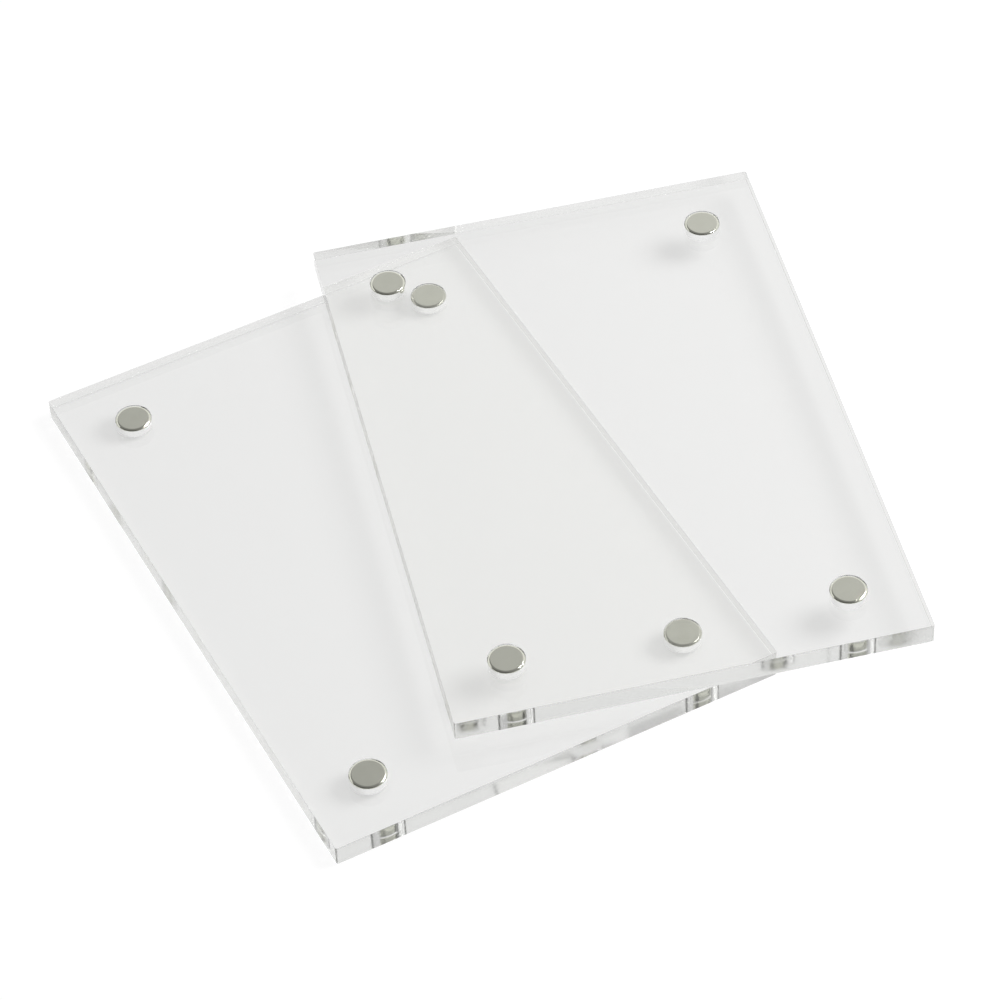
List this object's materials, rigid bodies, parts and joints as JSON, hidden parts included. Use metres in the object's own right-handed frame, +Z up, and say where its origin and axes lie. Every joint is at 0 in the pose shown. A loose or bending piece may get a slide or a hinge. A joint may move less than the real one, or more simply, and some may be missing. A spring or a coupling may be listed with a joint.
{
  "type": "acrylic block frame",
  "caption": "Clear acrylic block frame: a front panel and a rear panel that hold a picture between them with disc magnets near the corners, shown slid open.",
  "frame": {"origin": "centre of the rear panel's underside, on the surface that the frame lies on", "axes": "+Z up through the panels, +Y to the back along the rear panel's long side, +X to the right"},
  "size_m": [0.1059, 0.104, 0.0063],
  "materials": {
    "clear_acrylic": "polished",
    "nickel": "satin nickel plate",
    "clear_glue": "clear"
  },
  "bodies": {
    "rear_panel": {"rear_panel": "clear_acrylic", "rear_magnet_back_left": "nickel", "rear_glue_back_left": "clear_glue", "rear_magnet_back_right": "nickel", "rear_glue_back_right": "clear_glue", "rear_magnet_front_left": "nickel", "rear_glue_front_left": "clear_glue", "rear_magnet_front_right": "nickel", "rear_glue_front_right": "clear_glue"},
    "pivot_magnet": {"front_magnet_front_left": "nickel", "front_glue_front_left": "clear_glue"},
    "front_panel": {"front_panel": "clear_acrylic", "front_magnet_back_left": "nickel", "front_glue_back_left": "clear_glue", "front_magnet_back_right": "nickel", "front_glue_back_right": "clear_glue", "front_magnet_front_right": "nickel", "front_glue_front_right": "clear_glue"}
  },
  "joints": [
    {"name": "front_panel_slide", "type": "slide", "parent": "rear_panel", "child": "pivot_magnet", "axis": [-0.9689, -0.2474, 0], "range_m": [0, 0.02394]},
    {"name": "front_panel_swivel", "type": "hinge", "parent": "pivot_magnet", "child": "front_panel", "pos_m": [0.00019, -0.03058, 0.00315], "axis": [0, 0, 1], "range_deg": [0, 14.5]}
  ]
}
